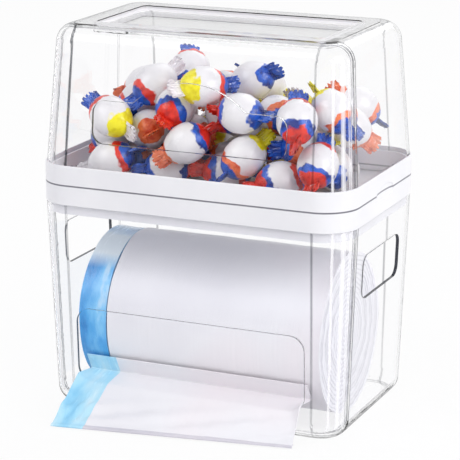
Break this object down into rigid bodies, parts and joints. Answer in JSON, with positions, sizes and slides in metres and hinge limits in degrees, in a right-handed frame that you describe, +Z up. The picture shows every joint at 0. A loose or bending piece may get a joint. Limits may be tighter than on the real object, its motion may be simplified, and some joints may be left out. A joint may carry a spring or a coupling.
{
  "type": "trash bag and pod dispenser",
  "caption": "Clear two-tier dispenser: a lower bin feeds a roll of bags through a front slot, and a white tray holds wrapped pods under a clear lift-off lid with a front hand opening.",
  "frame": {"origin": "middle of the bin's flat foot", "axes": "+Z up, -Y out of the front with the slot, +X to the right as seen from the front"},
  "size_m": [0.24, 0.1969, 0.2813],
  "materials": {
    "clear_plastic": "clear gloss",
    "white_plastic": "satin",
    "bag_film": "satin film",
    "drawstring_tape": "satin film",
    "pod_film": "gloss film"
  },
  "bodies": {
    "bin": {"bin": "clear_plastic", "bag_roll": "bag_film", "roll_drawstring": "drawstring_tape", "bag_strip": "bag_film", "strip_drawstring": "drawstring_tape"},
    "tray": {"tray": "white_plastic", "pod_01": "pod_film", "pod_02": "pod_film", "pod_03": "pod_film", "pod_04": "pod_film", "pod_05": "pod_film", "pod_06": "pod_film", "pod_07": "pod_film", "pod_08": "pod_film", "pod_09": "pod_film", "pod_10": "pod_film", "pod_11": "pod_film", "pod_12": "pod_film", "pod_13": "pod_film", "pod_14": "pod_film", "pod_15": "pod_film", "pod_16": "pod_film", "pod_17": "pod_film", "pod_18": "pod_film", "pod_19": "pod_film", "pod_20": "pod_film", "pod_21": "pod_film", "pod_22": "pod_film", "pod_23": "pod_film", "pod_24": "pod_film", "pod_25": "pod_film", "pod_26": "pod_film", "pod_27": "pod_film", "pod_28": "pod_film", "pod_29": "pod_film", "pod_30": "pod_film", "pod_31": "pod_film", "pod_32": "pod_film", "pod_33": "pod_film", "pod_34": "pod_film", "pod_35": "pod_film", "pod_36": "pod_film", "pod_37": "pod_film", "pod_38": "pod_film", "pod_39": "pod_film", "pod_40": "pod_film", "pod_41": "pod_film", "pod_42": "pod_film", "pod_43": "pod_film", "pod_44": "pod_film"},
    "lid": {"lid_rim": "white_plastic", "lid_dome": "clear_plastic"}
  },
  "joints": [
    {"name": "tray_lift", "type": "slide", "parent": "bin", "child": "tray", "axis": [0, 0, 1], "range_m": [0, 0.05]},
    {"name": "lid_lift", "type": "slide", "parent": "tray", "child": "lid", "axis": [0, 0, 1], "range_m": [0, 0.11]}
  ]
}
